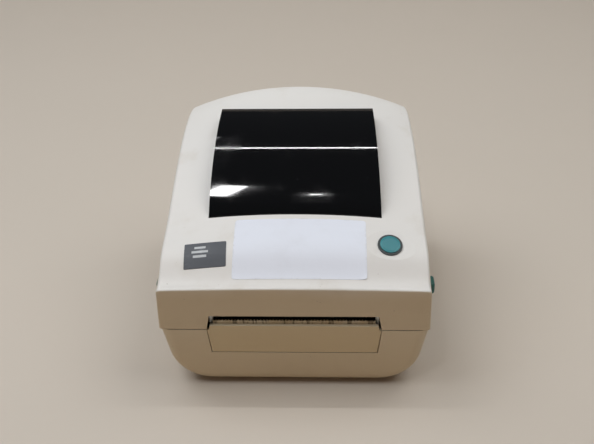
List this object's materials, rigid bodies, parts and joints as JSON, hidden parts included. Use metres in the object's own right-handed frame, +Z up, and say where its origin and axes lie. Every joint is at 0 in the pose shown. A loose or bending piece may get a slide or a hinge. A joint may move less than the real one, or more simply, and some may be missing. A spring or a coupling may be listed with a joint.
{
  "type": "desktop label printer",
  "caption": "Compact desktop direct-thermal label printer with a domed smoked window, a hinged clamshell cover, a front media slot, a feed button and side release latches.",
  "frame": {"origin": "on the table, under the middle of the housing", "axes": "+X to the printer's right as seen from the front, -Y towards the front where labels come out, +Z up"},
  "size_m": [0.218, 0.208, 0.172],
  "materials": {
    "housing_cover": "fine matte, off-white",
    "housing_base": "fine matte, off-white",
    "bezel": "satin, cream white",
    "smoked_window": "polished, smoked",
    "pin_steel": "turned",
    "ring_plastic": "satin, dark",
    "button_teal": "satin, teal",
    "small_board": "circuit board",
    "label_paper": "coated paper",
    "badge": "printed film, dark slate",
    "latch_teal": "satin, dark teal",
    "cradle": "matte, black",
    "sheet_steel": "zinc plated",
    "sink_aluminium": "extruded",
    "ceramic": "glazed ceramic",
    "spring_steel": "drawn wire",
    "screw_steel": "zinc plated",
    "foot_rubber": "moulded",
    "tear_steel": "stamped",
    "tray_plastic": "fine matte, dark grey",
    "holder_teal": "satin, teal",
    "hub_plastic": "satin, black",
    "gear_plastic": "natural moulding",
    "bush_plastic": "satin",
    "platen_rubber": "ground",
    "pinion_brass": "cut",
    "motor_case": "plated",
    "circuit_board": "solder mask",
    "switch_black": "satin",
    "rocker_black": "glossy",
    "socket_metal": "plated",
    "socket_dark": "satin"
  },
  "bodies": {
    "base": {"base_shell": "housing_base", "rubber_feet": "foot_rubber", "front_bezel": "bezel", "tear_bar": "tear_steel", "hinge_pins": "pin_steel", "media_tray": "tray_plastic", "mechanism_frame": "sheet_steel", "bushings": "bush_plastic", "stepper_motor": "motor_case", "base_screws": "screw_steel", "main_board": "circuit_board", "power_switch": "switch_black", "power_inlet": "switch_black", "usb_socket": "socket_metal", "serial_socket": "socket_metal", "parallel_socket": "socket_dark"},
    "cover": {"cover_shell": "housing_cover", "media_window": "smoked_window", "button_ring": "ring_plastic", "button_board": "small_board", "label_sheet": "label_paper", "badge_plate": "badge", "head_cradle": "cradle", "head_pivot_pin": "pin_steel", "head_springs": "spring_steel", "cover_screws": "screw_steel"},
    "button": {"feed_button": "button_teal"},
    "latch_l": {"latch_left": "latch_teal"},
    "latch_r": {"latch_right": "latch_teal"},
    "head": {"head_bracket": "sheet_steel", "heat_sink": "sink_aluminium", "print_head": "ceramic"},
    "platen": {"platen_roller": "platen_rubber", "platen_shaft": "pin_steel", "platen_gear": "gear_plastic"},
    "idler": {"idler_gear": "gear_plastic"},
    "motor_rotor": {"motor_pinion": "pinion_brass", "motor_shaft": "pin_steel"},
    "holder_l": {"holder_left": "holder_teal"},
    "holder_r": {"holder_right": "holder_teal"},
    "hub_l": {"hub_left": "hub_plastic"},
    "hub_r": {"hub_right": "hub_plastic"},
    "pinion": {"holder_pinion": "gear_plastic"},
    "rocker": {"power_rocker": "rocker_black"}
  },
  "joints": [
    {"name": "cover_hinge", "type": "hinge", "parent": "base", "child": "cover", "pos_m": [0, 0.096, 0.057], "axis": [-1, 0, 0], "range_deg": [0, 85]},
    {"name": "latch_left_slide", "type": "slide", "parent": "cover", "child": "latch_l", "axis": [0, -1, 0], "range_m": [0, 0.005], "stiffness_N_per_m": 200, "springref_m": -0.002},
    {"name": "latch_right_slide", "type": "slide", "parent": "cover", "child": "latch_r", "axis": [0, -1, 0], "range_m": [0, 0.005], "stiffness_N_per_m": 200, "springref_m": -0.002},
    {"name": "feed_press", "type": "slide", "parent": "cover", "child": "button", "axis": [-0.0709, 0.3145, -0.9466], "range_m": [0, 0.0012], "stiffness_N_per_m": 400, "springref_m": -0.001},
    {"name": "head_pivot", "type": "hinge", "parent": "cover", "child": "head", "pos_m": [0, -0.064, 0.084], "axis": [-1, 0, 0], "range_deg": [0, 3], "stiffness_Nm_per_rad": 0.8, "springref_deg": -3.44, "deforming": ["head_springs"]},
    {"name": "platen_spin", "type": "hinge", "parent": "base", "child": "platen", "pos_m": [0, -0.088, 0.0575], "axis": [1, 0, 0], "continuous": true},
    {"name": "idler_spin", "type": "hinge", "parent": "base", "child": "idler", "pos_m": [0, -0.0801, 0.04], "axis": [1, 0, 0], "continuous": true},
    {"name": "motor_spin", "type": "hinge", "parent": "base", "child": "motor_rotor", "pos_m": [0, -0.06624, 0.032], "axis": [1, 0, 0], "continuous": true},
    {"name": "holder_right_slide", "type": "slide", "parent": "base", "child": "holder_r", "axis": [1, 0, 0], "range_m": [0, 0.03]},
    {"name": "holder_left_slide", "type": "slide", "parent": "base", "child": "holder_l", "axis": [1, 0, 0], "range_m": [-0.03, 0]},
    {"name": "pinion_turn", "type": "hinge", "parent": "base", "child": "pinion", "pos_m": [0, 0.028, 0.018], "axis": [0, 0, 1], "range_deg": [-190, 5]},
    {"name": "hub_left_spin", "type": "hinge", "parent": "holder_l", "child": "hub_l", "pos_m": [0, 0.028, 0.097], "axis": [1, 0, 0], "continuous": true},
    {"name": "hub_right_spin", "type": "hinge", "parent": "holder_r", "child": "hub_r", "pos_m": [0, 0.028, 0.097], "axis": [1, 0, 0], "continuous": true},
    {"name": "rocker_turn", "type": "hinge", "parent": "base", "child": "rocker", "pos_m": [-0.0735, 0.097, 0.025], "axis": [1, 0, 0], "range_deg": [-8, 8]}
  ],
  "couplings": [
    {"joint": "idler_spin", "follows": "platen_spin", "ratio": -1},
    {"joint": "motor_spin", "follows": "platen_spin", "ratio": 1.5},
    {"joint": "holder_left_slide", "follows": "holder_right_slide", "ratio": -1},
    {"joint": "pinion_turn", "follows": "holder_right_slide", "rad_per_m": -100}
  ]
}
